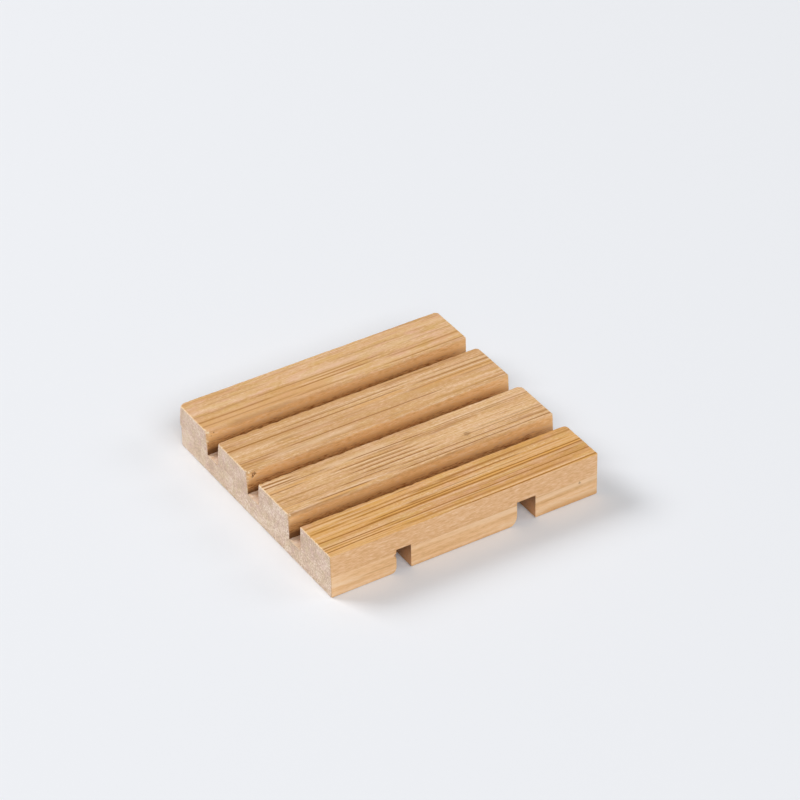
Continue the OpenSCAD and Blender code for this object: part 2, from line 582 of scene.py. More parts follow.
# Levels between which the walls of the notches, dark from cutter burn, turn darker towards the top, and how
# far from the middle of the dish painted shade darkens them, away from the daylight at the front and the
# back
NOTCH_TOP_LEVELS = (2.0, 6.5)
NOTCH_SHADE_INSIDE = (38.5, 33.0)
# How far from an end of the dish the floors of the grooves turn pale with dust and painted light, a cut
# across the grain turns from the end's wood to a notch's, and pale torn fibre with its painted highlight
# stops
DUST_AND_LIGHT_REACH = (5.0, 2.5)
END_REACH = (1.0, 2.0)
FRAY_AND_HIGHLIGHT = 0.4
# Layers of growth on the ends: how their wave turns with height and with the figure's whirls
LAYERS_BY_HEIGHT = 2.5
LAYERS_BY_WHIRL = 30.0
# Over how much to either side of the glue the floors of the grooves and the layers set in
FLOOR_BLUR = 0.1
LAYERS_BLUR = 0.5

# How much of each part goes into the dots of an end, and the level of the pores among them
END_DOTS = 0.6
END_PORES = -7.0
END_PORE_LEVEL = 3.35
END_BANDS = 2.5
END_LAYERS = 0.3
# How strong these are: tints, those of an end, the painted shadow line on a groove's floor and the painted
# shadow at the foot of a wall, the painted shade deep in the notches, and the pale torn fibre along the
# grain that also paints a highlight
TINTS = 4.0
END_TINTS = 0.7
FLOOR_SHADOW_LINE = 0.8
WALL_FOOT_SHADOW = 0.92
NOTCH_SHADE = 0.5
LONG_EDGE_HIGHLIGHT = 0.06
# How far streaks move the edge of the pale band, and dashes the line where a wall starts
PALE_BAND_RAGGED = 2.5
WALL_TOP_RAGGED = 1.2
# The bands of the figure between which wood turns golden
GOLD_COMES_IN = (0.42, 0.66)
# Roughness of smooth wood, and what streaks and long edges add
SMOOTH_ROUGHNESS = 0.42
STREAK_ROUGHNESS = 0.3
EDGE_ROUGHNESS = 0.35
# Height of dashes and of lines, where streaks have a height of 1
DASH_HEIGHT = 0.3
LINE_HEIGHT = -0.8

# Painted shade of the groove walls, with some cutter burn, and painted shadow at their foot and deep in the
# notches
WALL_SHADE_BROWN = (0.27, 0.097, 0.018, 1)
PAINTED_SHADOW_BROWN = (0.13, 0.055, 0.018, 1)
BURNT = (0.70, 0.33, 0.115, 1)
NOTCH_TOP_BROWN = (0.34, 0.145, 0.042, 1)
STAIN = (0.19, 0.075, 0.015, 1)
DUST = (0.90, 0.76, 0.64, 1)
# Pale floor at the ends of the grooves: dust, and painted light where light enters them
DUSTY_LIT_FLOOR = (0.95, 0.77, 0.65, 1)
# Pale torn fibre, which also paints the highlight that the edges catch
TORN_FIBRE_HIGHLIGHT = (0.90, 0.70, 0.46, 1)
ROSY_END = (0.70, 0.47, 0.42, 1)
STRAWY_END = (0.69, 0.535, 0.33, 1)
ROSY_FLAT = (0.78, 0.46, 0.33, 1)
STRAWY_FLAT = (0.68, 0.43, 0.13, 1)


class Spot:
    """What each place on a milled surface is like: where it lies and which way it faces, and
    what the bamboo's figure shows there, as numbers around nothing."""

    def __init__(self, tree, given, figure):
        self.x, self.y, self.z = split(given["Spot"])
        self.facing_end, self.facing_side, self.facing_up = split(given["Facing"])
        self.figure = use_group(tree, figure, {"Place": given["Place"], "Line gap": given["Line gap"]})
        self.streaks = self.figure["Streaks"] - NOISE_MIDDLE
        self.bands = self.figure["Bands"] - NOISE_MIDDLE
        self.specks = self.figure["Specks"] - NOISE_MIDDLE
        self.dashes = self.figure["Dashes"] - NOISE_MIDDLE
        self.tint = (self.figure["Tints"] - NOISE_MIDDLE) * TINTS
        self.from_end = DISH_END - abs(self.x)
        # 1 on the front or the back of the dish, and 0 on the walls of the grooves
        self.outside = fade(self.facing_side * given["Outer side"], *SIDE_FACING)
        # 1 on the walls of the notches, and 0 on the ends of the dish
        self.inside = fade(self.from_end, *END_REACH)
        # The strongest of the thin lines and the chosen ones
        lines = highest(self.figure["Lines"] * given["Line strength"], given["Chosen lines"])
        self.line = broken_up(lines, self.specks, swing=1.2, level=1.0)

    def below_glue(self, blur):
        """1 in the lower ply and 0 in the upper one."""
        return fade(self.z, GLUE_Z + blur, GLUE_Z - blur)


def edge_of(part):
    """1 where the surface turns from facing along an axis to facing across it."""
    much = abs(part)
    return fade(much, *EDGE_STARTS) * fade(much, *EDGE_STOPS)


def flat_wood(spot, given):
    """Colour of flat cuts: long streaks, lines and golden patches, and on the floors of the grooves dust and
    painted light near the ends and a painted shadow line along the back wall."""
    tone = spot.streaks * given["Streak strength"] + spot.bands * given["Band strength"]
    tone = tone + spot.specks * given["Speck strength"]
    wood = toned(given["Plain"], tone, given["Pale"], given["Dark"])
    wood = toned(wood, spot.tint * given["Tint strength"], ROSY_FLAT, STRAWY_FLAT)
    gold = fade(spot.figure["Bands"], *GOLD_COMES_IN) * given["Gold share"]
    wood = blend(highest(gold, given["Golden patch"]), wood, given["Golden"])
    wood = blend(given["Pale lines"], wood, given["Pale"])
    wood = blend(spot.line, wood, given["Brown"])
    groove_floor = spot.below_glue(FLOOR_BLUR) * fade(spot.facing_up, *FLOOR_FACING)
    # Near the ends the floors of the grooves turn pale: dust, and painted light where light enters the
    # grooves
    dust_and_light = broken_up(fade(spot.from_end, *DUST_AND_LIGHT_REACH), spot.dashes, swing=2.0, level=0.6)
    wood = blend(dust_and_light * groove_floor, wood, DUSTY_LIT_FLOOR)
    # Painted shadow along the foot of each groove's back wall
    floor_shadow_line = 0.0
    for _, back_wall in GROOVES:
        floor_shadow_line = highest(floor_shadow_line, fade(abs(spot.y - back_wall), *FLOOR_SHADOW_FADES))
    floor_shadow_line = floor_shadow_line * groove_floor * fade(spot.from_end, *FLOOR_SHADOW_STARTS)
    return blend(floor_shadow_line * FLOOR_SHADOW_LINE, wood, WALL_SHADE_BROWN)


def upright_wood(spot, given):
    """Colour of upright cuts along the grain: short dashes, a pale band at the top of the lower ply's front,
    and walls of grooves with painted shade that deepens downwards, with some cutter burn, to a painted
    shadow at their foot."""
    tone = spot.dashes * given["Dash strength"] + spot.streaks * given["Side streaks"]
    plain = blend(spot.outside, given["Wall"], given["Side"])
    wood = toned(plain, tone, given["Pale"], given["Dark"])
    pale_band = fade(spot.streaks * PALE_BAND_RAGGED + spot.z, *PALE_BAND_STARTS)
    pale_band = pale_band * fade(spot.z, GLUE_Z, GLUE_Z - PALE_BAND_TOP)
    pale_band = broken_up(pale_band, spot.bands, swing=2.5, level=0.62)
    wood = blend(pale_band * spot.outside, wood, given["Pale"])
    wood = blend(given["Side lines"], wood, given["Dark"])
    # Painted shade down the walls of the grooves, with some cutter burn, lighter near the open right end,
    # then a painted contact shadow at their foot
    shade = 1.0 - fade(spot.x, DISH_END - OPEN_END, DISH_END) * OPEN_END_LIGHT
    wall = fade(spot.z, *WALL_DARKENS) * shade * (1.0 - spot.outside)
    wood = blend(broken_up(wall, spot.dashes, swing=2.2, level=0.68), wood, WALL_SHADE_BROWN)
    foot = fade(spot.z, *FOOT_DARKENS) * (WALL_FOOT_SHADOW - spot.outside) * shade
    return blend(foot, wood, PAINTED_SHADOW_BROWN)


def end_wood(spot, given):
    """Colour of cuts across the grain: pale wood with dust, fine dots and wavy layers of growth on the two
    ends, and wood dark from cutter burn on the walls of the notches, darker towards the top and with painted
    shade deep inside, away from the openings."""
    layers = calc("SINE", spot.figure["Whirls"] * LAYERS_BY_WHIRL + spot.z * LAYERS_BY_HEIGHT)
    dots = spot.figure["Dots"] * END_DOTS + (spot.figure["Pores"] * END_PORES + END_PORE_LEVEL)
    dots = dots + spot.bands * END_BANDS + layers * spot.below_glue(LAYERS_BLUR) * END_LAYERS
    wood = toned(given["End"], spot.tint * END_TINTS, ROSY_END, STRAWY_END)
    wood = toned(wood, dots * given["Dot strength"], given["End dark"], DUST)
    # Walls of the notches: dark from cutter burn, darker towards the top, and painted shade deep inside away
    # from the openings
    burnt_and_shaded = blend(fade(spot.z, *NOTCH_TOP_LEVELS), BURNT, NOTCH_TOP_BROWN)
    burnt_and_shaded = blend(fade(abs(spot.y), *NOTCH_SHADE_INSIDE) * NOTCH_SHADE, burnt_and_shaded, PAINTED_SHADOW_BROWN)
    return blend(broken_up(spot.inside, spot.specks, swing=0.5, level=0.86), wood, burnt_and_shaded)


def milled_bamboo_group(figure):
    """Colour, roughness and height of milled bamboo, by the way that the surface faces. Fibres are torn and
    pale along the edges, most at the two ends, and the pale colour there also paints the highlight that the
    edges catch."""
    tree, given, made = new_group("milled bamboo", [
        ("Spot", VECTOR, (0, 0, 0)),
        ("Place", VECTOR, (0, 0, 0)),
        ("Facing", VECTOR, (0, 0, 1)),
        ("Chosen lines", NUMBER, 0.0),
        ("Golden patch", NUMBER, 0.0),
        ("Side lines", NUMBER, 0.0),
        ("Pale lines", NUMBER, 0.0),
        ("Stain", NUMBER, 0.0),
        ("Wall top", NUMBER, 12.6),
        ("Line gap", NUMBER, 1.5),
        ("Plain", COLOUR, (0.735, 0.45, 0.225, 1)),
        ("Pale", COLOUR, (0.88, 0.64, 0.42, 1)),
        ("Dark", COLOUR, (0.55, 0.28, 0.085, 1)),
        ("Golden", COLOUR, (0.72, 0.37, 0.09, 1)),
        ("Brown", COLOUR, (0.28, 0.10, 0.018, 1)),
        ("Side", COLOUR, (0.728, 0.43, 0.217, 1)),
        ("Wall", COLOUR, (0.825, 0.485, 0.207, 1)),
        ("End", COLOUR, (0.68, 0.487, 0.357, 1)),
        ("End dark", COLOUR, (0.53, 0.37, 0.26, 1)),
        ("Streak strength", NUMBER, 3.0),
        ("Band strength", NUMBER, 1.5),
        ("Line strength", NUMBER, 0.4),
        ("Gold share", NUMBER, 0.3),
        ("Dot strength", NUMBER, 0.5),
        ("Speck strength", NUMBER, 3.2),
        ("Tint strength", NUMBER, 0.4),
        ("Dash strength", NUMBER, 2.6),
        ("Side streaks", NUMBER, 1.0),
        ("Outer side", NUMBER, 0.0),
    ], [("Colour", COLOUR), ("Roughness", NUMBER), ("Height", NUMBER)])
    spot = Spot(tree, given, figure)
    wall_top = spot.x * WALL_TOP_SLOPE + given["Wall top"] + spot.tint * WALL_TOP_WANDER
    on_wall = highest(fade(spot.dashes * WALL_TOP_RAGGED + spot.z - wall_top, *WALL_STARTS), spot.outside)
    on_side = fade(abs(spot.facing_side), *SIDE_FACING) * on_wall
    wood = blend(on_side, flat_wood(spot, given), upright_wood(spot, given))
    wood = blend(given["Stain"], wood, STAIN)
    wood = blend(fade(abs(spot.facing_end), *END_FACING), wood, end_wood(spot, given))
    # Pale torn fibre along the edges, which also paints their highlight
    end_edge = highest(edge_of(spot.facing_end) * (1.0 - spot.inside), fade(spot.from_end, FRAY_AND_HIGHLIGHT, 0.0))
    end_edge = end_edge * fade(spot.facing_up, *END_EDGE_FACING)
    long_edge = edge_of(spot.facing_side) * fade(spot.facing_up, *LONG_EDGE_FACING)
    torn_and_highlit = broken_up(long_edge * LONG_EDGE_HIGHLIGHT + end_edge, spot.dashes, swing=4.0, level=0.65)
    rough = spot.figure["Streaks"] * STREAK_ROUGHNESS + SMOOTH_ROUGHNESS
    height = spot.line * LINE_HEIGHT + spot.figure["Streaks"]
    feed(made, {
        "Colour": blend(torn_and_highlit, wood, TORN_FIBRE_HIGHLIGHT),
        "Roughness": rough + long_edge * EDGE_ROUGHNESS,
        "Height": height + spot.figure["Dashes"] * DASH_HEIGHT,
    })
    return tree


figure = bamboo_figure_group()
grain_line = grain_line_group()
milled_bamboo = milled_bamboo_group(figure)


# The bamboo of each strip

# How far the grain wavers across, and the lengths over which it does
WAVER = 0.6
WAVER_LENGTHS = (22, 3, 3)
# Size of the bays in a stain's edge, and how they stretch the distance from its middle
STAIN_BAY = 0.5
STAIN_REACH = 2.4
STAIN_REACH_LESS = 0.2
# Sheen of the wood, and how strongly its grain catches the light and how deep it is in metres
SHEEN = 0.3
BUMP_STRENGTH = 0.12
BUMP_DEPTH = 0.0001


def chosen_lines(along, track, lines):
    """The strongest of the lines at each place. A line is how far it lies from the strip's
    back edge, its start and end along the dish, its width and its strength."""
    total = 0.0
    for across, start, end, width, strength in lines:
        line = use_group(tree_of(along), grain_line, {
            "Along": along, "Track": track, "Across": across, "Start": start, "End": end,
            "Width": width, "Strength": strength,
        })
        total = highest(total, line["Mask"])
    return total


def chosen_stains(spot, stains):
    """The strongest of the dark spots at each place. A spot is its place, its radius and its
    strength, and has a ragged edge."""
    total = 0.0
    bays = noise(stretch(spot, STAIN_BAY, STAIN_BAY, STAIN_BAY), detail=1)
    for centre, radius, strength in stains:
        gap = put(tree_of(spot), "ShaderNodeVectorMath", {0: spot, 1: centre}, operation="DISTANCE")
        away = Value(gap.outputs["Value"]) * (bays * STAIN_REACH - STAIN_REACH_LESS)
        total = highest(total, fade(away, radius, radius / 2) * strength)
    return total


def bamboo(name, offset, back_edge=0.0, lean=0.0, lines=(), patches=(), pale_lines=(),
           side_lines=(), stains=(), **values):
    """A strip's own bamboo: the shared pattern moved by an offset in millimetres and turned
    by a lean, with the strip's own lines, golden patches, stains and tones."""
    material = bpy.data.materials.new(name)
    material.use_nodes = True
    tree = material.node_tree
    where = outputs_of(put(tree, "ShaderNodeTexCoord", {}))
    spot = mapped(where["Object"], Scale=(1 / MM, 1 / MM, 1 / MM))
    place = mapped(spot, Location=offset, Rotation=(0, 0, -lean))
    x, y, z = split(spot)
    # How far a place lies in front of the strip's back edge, along the grain's own lean
    track = (back_edge - WAVER / 2) - y + x * math.tan(lean)
    track = track + noise(stretch(place, *WAVER_LENGTHS), detail=1) * WAVER
    milled = use_group(tree, milled_bamboo, {
        "Spot": spot,
        "Place": place,
        "Facing": where["Normal"],
        "Chosen lines": chosen_lines(x, track, lines),
        "Golden patch": chosen_lines(x, track, patches),
        "Pale lines": chosen_lines(x, track, pale_lines),
        "Side lines": chosen_lines(x, z, side_lines),
        "Stain": chosen_stains(spot, stains),
        **{label.replace("_", " ").capitalize(): value for label, value in values.items()},
    })
    bump = put(tree, "ShaderNodeBump",
               {"Height": milled["Height"], "Strength": BUMP_STRENGTH, "Distance": BUMP_DEPTH})
    feed(tree.nodes["Principled BSDF"], {
        "Base Color": milled["Colour"],
        "Roughness": milled["Roughness"],
        "Normal": Value(bump.outputs[0]),
        "Specular IOR Level": SHEEN,
    })
    return material


# Lines, golden patches, pale lines and stains of each rail. One that starts or ends past an end of the dish
# runs up to it.
PAST = 46.0
BACK_RAIL_LINES = [
    (7.9, -PAST, -22, 0.48, 0.53), (10.6, -PAST, -14, 0.54, 0.74), (12.7, -PAST, -8, 0.44, 0.6),
    (10.8, -14, 15, 0.39, 1.0), (9.3, -8, 20, 0.34, 0.83), (8.2, -25, 13, 0.44, 0.67),
    (13.7, -16, 8, 0.48, 0.6), (11.3, 14, PAST, 0.44, 0.6), (14.0, 12, PAST, 0.39, 0.83),
    (7.8, 22, PAST, 0.39, 0.37), (4.4, -38, -14, 0.48, 0.37), (4.6, 2, 26, 0.48, 0.37),
    (14.6, -36, -10, 1.0, 0.4),
]
BACK_RAIL_PATCHES = [
    (12.4, -PAST, 2, 5.6, 0.7), (9.4, -20, 14, 2.6, 0.6), (1.4, -PAST, -24, 0.8, 0.5),
    (2.2, -34, -2, 0.6, 0.45), (4.2, -36, -12, 0.5, 0.35), (11.5, 20, PAST, 3.0, 0.25),
    (11.6, 28, PAST, 2.0, 0.45),
]
BACK_RAIL_PALE = [
    (8.9, -8, 12, 0.35, 0.5), (6.2, -PAST, -20, 0.6, 0.3), (10.0, -12, 8, 0.3, 0.5),
    (6.8, -12, 32, 2.4, 0.3),
]
BACK_RAIL_STAINS = [((-37.9, 24.0, 12.2), 0.3, 0.55), ((-38.6, 24.1, 11.3), 0.25, 0.4)]
MID_BACK_LINES = [
    (5.2, -PAST, 16, 0.34, 0.85), (3.5, -26, 18, 0.3, 0.7), (3.4, -6, 18, 0.34, 0.5),
    (11.3, -28, 24, 0.34, 0.9), (11.4, -PAST, -26, 0.38, 0.67), (12.4, -PAST, -28, 0.34, 0.46),
    (3.8, 20, PAST, 0.34, 0.67), (5.4, 14, PAST, 0.42, 0.75), (7.3, 10, PAST, 0.42, 0.55),
    (8.6, 26, PAST, 0.34, 0.53), (1.3, 6, 28, 0.3, 0.53), (7.8, -20, 4, 0.42, 0.3),
    (14.3, 18, PAST, 0.34, 0.46),
]
MID_BACK_PATCHES = [(5.9, -6, 16, 1.2, 0.5), (7.6, 14, PAST, 1.6, 0.45), (2.6, -30, -8, 1.4, 0.12)]
MID_BACK_PALE = [
    (4.6, 14, PAST, 0.35, 0.5), (6.3, 16, PAST, 0.4, 0.5), (2.7, -24, 12, 0.3, 0.4),
    (7.2, -PAST, -6, 1.2, 0.25), (13.0, -34, -4, 1.8, 0.4),
]
# The dark spots of the pits are partly their own dark wood and partly painted shade inside them
MID_BACK_PIT_STAINS_AND_SHADE = [((-38.0, 2.85, 11.85), 0.62, 1.0), ((-38.2, 2.85, 11.1), 0.45, 0.9)]
MID_FRONT_LINES = [
    (1.7, -PAST, -28, 0.38, 0.95), (2.9, -PAST, -28, 0.38, 0.95), (3.7, -38, -18, 0.3, 0.85),
    (5.6, -PAST, -27, 0.42, 0.75), (4.0, -18, 10, 0.32, 1.0), (4.1, 0, 24, 0.3, 0.45),
    (6.2, -24, 4, 0.3, 0.9), (7.6, -20, 6, 0.3, 0.9), (9.0, -21, 5, 0.3, 0.97),
    (10.5, -18, 10, 0.32, 0.97), (12.1, -26, -4, 0.34, 0.9), (14.2, -34, -12, 0.34, 1.0),
    (15.2, -PAST, -18, 0.34, 0.53), (12.9, -8, PAST, 0.34, 0.83), (14.6, -8, PAST, 0.34, 0.97),
    (10.8, 12, PAST, 0.3, 0.6), (9.8, 16, PAST, 0.3, 0.6), (3.4, 8, PAST, 0.3, 0.53),
    (4.8, 0, 26, 0.3, 0.6), (9.2, -PAST, -22, 0.3, 0.46),
]
MID_FRONT_PATCHES = [(5.2, -PAST, -24, 1.1, 0.55), (14.8, -34, -12, 0.9, 0.6), (12.8, -PAST, -30, 1.0, 0.3)]
MID_FRONT_PALE = [
    (1.1, -PAST, -29, 0.35, 0.6), (2.3, -PAST, -28, 0.38, 0.8), (3.3, -PAST, -27, 0.3, 0.5),
    (3.2, -26, 0, 1.6, 0.45), (4.4, -16, 4, 0.3, 0.56), (6.8, -18, 8, 0.3, 0.56),
    (8.2, -18, 10, 0.3, 0.56), (9.6, -16, 12, 0.3, 0.48), (11.1, -14, 14, 0.3, 0.56),
    (13.7, -32, -10, 0.35, 0.56), (13.8, 0, PAST, 0.3, 0.48), (2.9, 4, PAST, 0.35, 0.48),
]
MID_FRONT_STAINS = [((39.3, -18.5, 12.9), 0.35, 0.5), ((16.4, -13.4, 13.0), 1.1, 0.42)]
FRONT_RAIL_LINES = [
    (1.5, -PAST, -22, 0.42, 0.67), (2.8, -34, 0, 0.38, 0.74), (4.3, -30, 26, 0.38, 0.97),
    (4.4, -PAST, -26, 0.34, 0.6), (2.6, -4, 28, 0.77, 0.74), (2.7, 18, PAST, 0.51, 0.6),
    (7.3, -26, PAST, 0.34, 1.0), (8.3, -PAST, PAST, 0.38, 1.0), (10.7, -PAST, -14, 0.34, 1.0),
    (11.6, -PAST, -20, 0.3, 0.6), (11.7, -24, PAST, 0.34, 0.9), (12.6, -PAST, -18, 0.34, 0.97),
    (13.4, -20, 36, 0.59, 0.6), (14.9, -18, PAST, 0.34, 1.0), (10.2, -4, 28, 0.34, 0.46),
]
FRONT_RAIL_PATCHES = [
    (7.8, -26, PAST, 1.0, 0.7), (7.5, 6, PAST, 0.9, 0.95), (7.4, 2, 28, 2.0, 0.6),
    (4.2, -28, 20, 2.2, 0.3), (13.6, -24, PAST, 1.8, 0.3),
]
FRONT_RAIL_PALE = [
    (2.1, -PAST, -20, 0.35, 0.43), (3.6, -36, -4, 0.35, 0.37), (6.2, -PAST, PAST, 0.45, 0.31),
    (9.2, -28, PAST, 0.4, 0.37), (5.4, 2, PAST, 0.4, 0.37), (10.2, -PAST, -18, 0.35, 0.37),
    (11.1, -PAST, -22, 0.3, 0.37), (12.1, -36, 20, 0.3, 0.37), (14.3, -10, PAST, 0.35, 0.37),
    (0.8, -34, -6, 0.4, 0.31),
]

# Lines on the front of the lower ply, each with its level instead of its place across
FRONT_SIDE_LINES = [
    (3.3, -34, -18, 0.4, 0.6), (2.3, -39, -26, 0.5, 0.35), (4.1, 18, 34, 0.35, 0.6),
    (1.8, -8, 12, 0.4, 0.3), (5.0, 24, PAST, 0.4, 0.35), (0.8, 20, PAST, 1.8, 0.5),
]
FRONT_STRIP_STAINS = [((34.4, -39.0, 5.8), 0.42, 0.5)]
# How strongly the dots show on the ends of the strips, from the back
STRIP_DOT_STRENGTHS = [0.42, 0.58, 0.67, 0.85, 0.73]
# Wood of the strips where it is cut across, from the back
STRIP_ENDS = [(0.765, 0.58, 0.43, 1)] + 3 * [(0.71, 0.523, 0.367, 1)] + [(0.695, 0.507, 0.354, 1)]

# Which strips have a face outside: 1 at the back and -1 at the front
STRIP_OUTER_SIDES = [1, 0, 0, 0, -1]
# Where the pattern of the back strip starts, and how far on that of each next strip does
STRIP_OFFSET = np.array([37, 17, 9])
STRIP_OFFSET_STEP = np.array([90, 30, 20])

rail_backs = [box[1][1] for box in rail_boxes]
rail_bamboo = [
    bamboo(
        "bamboo of the back rail", (11, 3, 5), rail_backs[0], 0.002,
        BACK_RAIL_LINES, BACK_RAIL_PATCHES, BACK_RAIL_PALE, stains=BACK_RAIL_STAINS,
        plain=(0.745, 0.465, 0.243, 1), golden=(0.675, 0.355, 0.125, 1), brown=(0.40, 0.17, 0.035, 1),
        streak_strength=3.2, band_strength=2.0, line_strength=0.4, dot_strength=0.55,
        tint_strength=0.62, wall_top=12.25, outer_side=1,
    ),
    bamboo(
        "bamboo of the mid back rail", (147, 29, 41), rail_backs[1], 0.003,
        MID_BACK_LINES, MID_BACK_PATCHES, MID_BACK_PALE, stains=MID_BACK_PIT_STAINS_AND_SHADE,
        plain=(0.648, 0.374, 0.172, 1), brown=(0.34, 0.135, 0.027, 1),
        streak_strength=3.4, band_strength=1.6, line_strength=0.5, dot_strength=0.55,
        tint_strength=0.25, speck_strength=2.7, gold_share=0.15,
    ),
    bamboo(
        "bamboo of the mid front rail", (311, 57, 83), rail_backs[2], 0.004,
        MID_FRONT_LINES, MID_FRONT_PATCHES, MID_FRONT_PALE, stains=MID_FRONT_STAINS,
        plain=(0.71, 0.43, 0.213, 1), brown=(0.31, 0.115, 0.018, 1),
        streak_strength=3.9, band_strength=1.2, line_strength=0.5, dot_strength=0.75,
        tint_strength=0.25, gold_share=0.15, line_gap=1.1, wall_top=12.4,
    ),
    bamboo(
        "bamboo of the front rail", (463, 91, 127), rail_backs[3], 0.013,
        FRONT_RAIL_LINES, FRONT_RAIL_PATCHES, FRONT_RAIL_PALE,
        plain=(0.68, 0.361, 0.136, 1), golden=(0.72, 0.365, 0.08, 1), brown=(0.35, 0.13, 0.012, 1),
        streak_strength=4.2, band_strength=2.0, line_strength=0.7, dot_strength=0.75,
        tint_strength=0.5, gold_share=0.6, line_gap=1.2, outer_side=-1,
    ),
]
strip_bamboo = [
    bamboo(
        f"bamboo of the {strip.replace('_', ' ')} strip", tuple(STRIP_OFFSET + STRIP_OFFSET_STEP * n),
        side_lines=FRONT_SIDE_LINES if strip == "front" else (),
        stains=FRONT_STRIP_STAINS if strip == "front" else (),
        side=(0.795, 0.49, 0.252, 1), end=STRIP_ENDS[n], dash_strength=1.4, side_streaks=3.6,
        dot_strength=STRIP_DOT_STRENGTHS[n], outer_side=STRIP_OUTER_SIDES[n],
    )
    for n, strip in enumerate(STRIPS)
]


# The pieces

def rail(i):
    """One rail: a bar with its long top edges, its ends and its upright corners eased, and
    with the shallow cuts of the notches on its underside."""
    node = RAILS[i]
    low, high = rail_boxes[i]
    # Each edge, corner and surface of the rail draws from a seed of its own, counted from this
    seed = 100 * (i + 1)
    ceiling = level_of_cut(node, 0, *NOTCHES[0], GLUE_Z, TOP_Z - RIM)
    cuts = [(start, end, ceiling) for start, end in NOTCHES]
    x_low, z_low, x_high = stepped(low[0], high[0], GLUE_Z, cuts, ALONG_STEP, END_RIM, END_RIM_STEP)
    y = graded(low[1], high[1], ACROSS_STEP)
    shares = (graded(GLUE_Z, TOP_Z, UPRIGHT_STEP) - GLUE_Z) / (TOP_Z - GLUE_Z)
    points, faces = closed_block(x_low, z_low, x_high, y, y, np.full(len(y), TOP_Z), shares)
    x_at, y_at = points[:, 0].copy(), points[:, 1].copy()
    upward = np.clip((points[:, 2] - GLUE_Z) / (TOP_Z - GLUE_Z), 0, 1)
    ragged = 1 + CORNER_SWING * wave(points[:, 2], seed + 40, *CORNER_WAVES)
    first, last = i == 0, i == len(RAILS) - 1
    for side, edge, inward, edge_r, bites in (
            (0, low[1], 1, FRONT_EDGE_RS[i], FRONT_EDGE_BITES[i]),
            (1, high[1], -1, RAIL_EDGE_R, BACK_EDGE_BITES[i])):
        edge_rs = worn(edge_r, x_at, seed + 10 * side, bites)
        ease(points, (1, 2), (edge, TOP_Z), (inward, -1), edge_rs)
    for edge, inward in ((low[0], 1), (high[0], -1)):
        ease(points, (0, 2), (edge, TOP_Z), (inward, -1), worn(END_EDGE_R, y_at, seed + 20 + inward))
    for y_edge, y_in, outer, left_r, right_r, rise in (
            (low[1], 1, last, LEFT_FRONT_CORNER_RS[i], RIGHT_FRONT_CORNER_RS[i], FRONT_CORNER_RISE),
            (high[1], -1, first, LEFT_BACK_CORNER_RS[i], RIGHT_BACK_CORNER_RS[i], BACK_CORNER_RISE)):
        corner_r = UPPER_CORNER_R if outer else GROOVE_MOUTH_R
        for x_edge, x_in, top_r in ((low[0], 1, left_r), (high[0], -1, right_r)):
            corner_rs = corner_r + (top_r - corner_r) * ragged * upward ** rise
            ease(points, (0, 1), (x_edge, y_edge), (x_in, y_in), corner_rs)
    sink = raised_grain(points, seed + 30)
    if node == "rail_mid_back":
        for along, level, radius in PITS:
            sink += dent(points, (along, low[1], level), radius, PIT_DEPTH)
    points -= normals_of(points, faces) * sink[:, None]
    return make_piece(f"bamboo_{node}", points, faces, rail_bamboo[i], node)


def foot_block(foot, strip):
    """One block of a foot: its bottom edges eased, rounder on the right where it faces a
    notch, its top cut by the groove above it."""
    node = f"{FEET[foot]}_{STRIPS[strip]}_strip"
    low, high = extent(node)
    seed = 1000 + 100 * foot + 10 * strip
    x = graded(low[0], high[0], ALONG_STEP, FOOT_RIM, FOOT_RIM_STEP)
    cuts = [
        (start, end, level_of_cut(node, 1, start, end, low[2] + RIM, high[2]))
        for start, end in GROOVES[::-1] if start > low[1] and end < high[1]
    ]
    y_high, z_high, y_low = stepped(low[1], high[1], high[2], cuts, FOOT_STEP, FOOT_RIM, FOOT_RIM_STEP)
    shares = (graded(low[2], high[2], UPRIGHT_STEP, FOOT_RIM, FOOT_RIM_STEP) - low[2]) / (high[2] - low[2])
    points, faces = closed_block(x, np.full(len(x), low[2]), x, y_low, y_high, z_high, shares)
    even = np.ones(len(points))
    ease(points, (0, 2), (low[0], low[2]), (1, 1), BASE_EDGE_R * even)
    ease(points, (0, 2), (high[0], low[2]), (-1, 1), RIGHT_EDGE_RS[foot] * even)
    for y_edge, y_in, outer in ((low[1], 1, strip == len(STRIPS) - 1), (high[1], -1, strip == 0)):
        if outer:
            corner_r = LOWER_BACK_CORNER_R if strip == 0 else LOWER_FRONT_CORNER_R
            ease(points, (1, 2), (y_edge, low[2]), (y_in, 1), BASE_EDGE_R * even)
            if foot == 0:
                ease(points, (0, 1), (low[0], y_edge), (1, y_in), corner_r * even)
            if foot == len(FEET) - 1:
                ease(points, (0, 1), (high[0], y_edge), (-1, y_in), corner_r * even)
    sink = raised_grain(points, seed)
    if foot == 0 and strip == len(STRIPS) - 1:
        sink += dent(points, (high[0], low[1], CHIP_LEVEL), CHIP_R, CHIP_DEPTH)
    points -= normals_of(points, faces) * sink[:, None]
    return make_piece(f"bamboo_{node}", points, faces, strip_bamboo[strip], node)


for i in range(len(RAILS)):
    rail(i)
for foot in range(len(FEET)):
    for strip in range(len(STRIPS)):
        foot_block(foot, strip)


# Floor, lamps and camera

# Half the side of the floor, in metres, and its finish
FLOOR_HALF = 3.0
FLOOR_COLOUR = (0.835, 0.851, 0.884, 1)
FLOOR_ROUGHNESS = 0.9
# Brightness of the even light
ROOM_LIGHT = 0.23
# Width of the camera's sensor in millimetres, and how near it sees, in metres
SENSOR_WIDTH = 36
NEAREST = 0.01


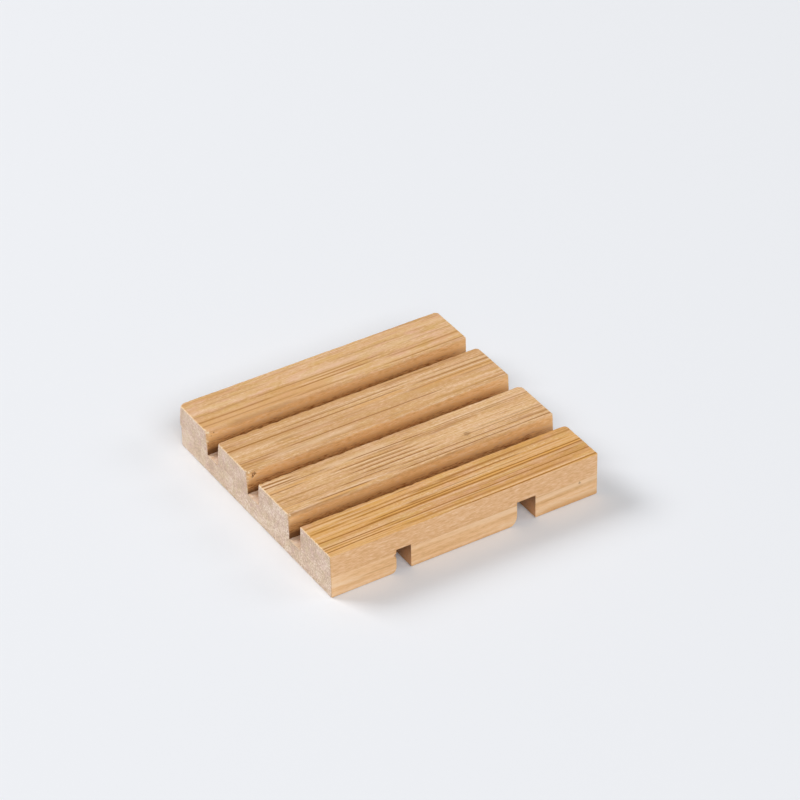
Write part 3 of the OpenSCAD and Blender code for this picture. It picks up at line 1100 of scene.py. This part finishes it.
def floor():
    """A plain pale sheet that the dish stands on."""
    mesh = bpy.data.meshes.new("floor")
    corners = [(FLOOR_HALF * x, FLOOR_HALF * y, 0) for x, y in ((-1, -1), (1, -1), (1, 1), (-1, 1))]
    mesh.from_pydata(corners, [], [(0, 1, 2, 3)])
    material = bpy.data.materials.new("pale floor")
    material.use_nodes = True
    feed(material.node_tree.nodes["Principled BSDF"],
         {"Base Color": FLOOR_COLOUR, "Roughness": FLOOR_ROUGHNESS, "Specular IOR Level": 0.0})
    mesh.materials.append(material)
    sheet = bpy.data.objects.new("floor", mesh)
    bpy.context.scene.collection.objects.link(sheet)


def softbox(name, azimuth, elevation, distance, width, height, share):
    """A soft lamp that shines at the dish. Azimuth 0 is the back and 90 the right. The share
    is how much of a white floor's brightness it gives: power x sin(elevation) over
    (pi x distance) squared."""
    az, el = math.radians(azimuth), math.radians(elevation)
    lamp = bpy.data.lights.new(name, "AREA")
    lamp.shape = "RECTANGLE"
    lamp.size = width
    lamp.size_y = height
    lamp.energy = share * (math.pi * distance) ** 2 / math.sin(el)
    box = bpy.data.objects.new(name, lamp)
    direction = Vector((math.cos(el) * math.sin(az), math.cos(el) * math.cos(az), math.sin(el)))
    box.location = direction * distance
    box.rotation_mode = "QUATERNION"
    box.rotation_quaternion = direction.to_track_quat("Z", "Y")
    bpy.context.scene.collection.objects.link(box)


def room_light(strength):
    """Even light from all around."""
    world = bpy.data.worlds.new("room")
    world.use_nodes = True
    feed(world.node_tree.nodes["Background"], {"Color": (1, 1, 1, 1), "Strength": strength})
    bpy.context.scene.world = world


def camera(azimuth, elevation, roll, distance, aim, lens):
    """The photograph's view: azimuth 0 looks along +Y, and the roll turns the frame."""
    az, el, turn = (math.radians(v) for v in (azimuth, elevation, roll))
    back = Vector((math.sin(az) * math.cos(el), -math.cos(az) * math.cos(el), math.sin(el)))
    level = (-back).cross(Vector((0, 0, 1))).normalized()
    upright = level.cross(-back)
    right = math.cos(turn) * level + math.sin(turn) * upright
    up = math.cos(turn) * upright - math.sin(turn) * level
    data = bpy.data.cameras.new("camera")
    data.lens = lens
    data.sensor_width = SENSOR_WIDTH
    data.clip_start = NEAREST
    eye = bpy.data.objects.new("camera", data)
    eye.rotation_mode = "QUATERNION"
    eye.location = Vector(aim) * MM + back * distance * MM
    eye.rotation_quaternion = Matrix((right, up, back)).transposed().to_quaternion()
    bpy.context.scene.collection.objects.link(eye)
    bpy.context.scene.camera = eye


floor()
room_light(ROOM_LIGHT)
softbox("key light", azimuth=-36, elevation=39, distance=3.4, width=1.7, height=1.45, share=0.402)
softbox("front light", azimuth=188, elevation=41, distance=5.5, width=4.2, height=2.7, share=0.362)
softbox("left light", azimuth=211, elevation=33, distance=4.2, width=1.6, height=1.4, share=0.03)
softbox("right light", azimuth=118, elevation=33, distance=4.2, width=1.8, height=1.4, share=0.062)
camera(azimuth=-30.87, elevation=35.36, roll=-1.29, distance=955.6, aim=(19.17, 24.6, 0), lens=160.0)
bpy.context.scene.view_settings.view_transform = "Standard"
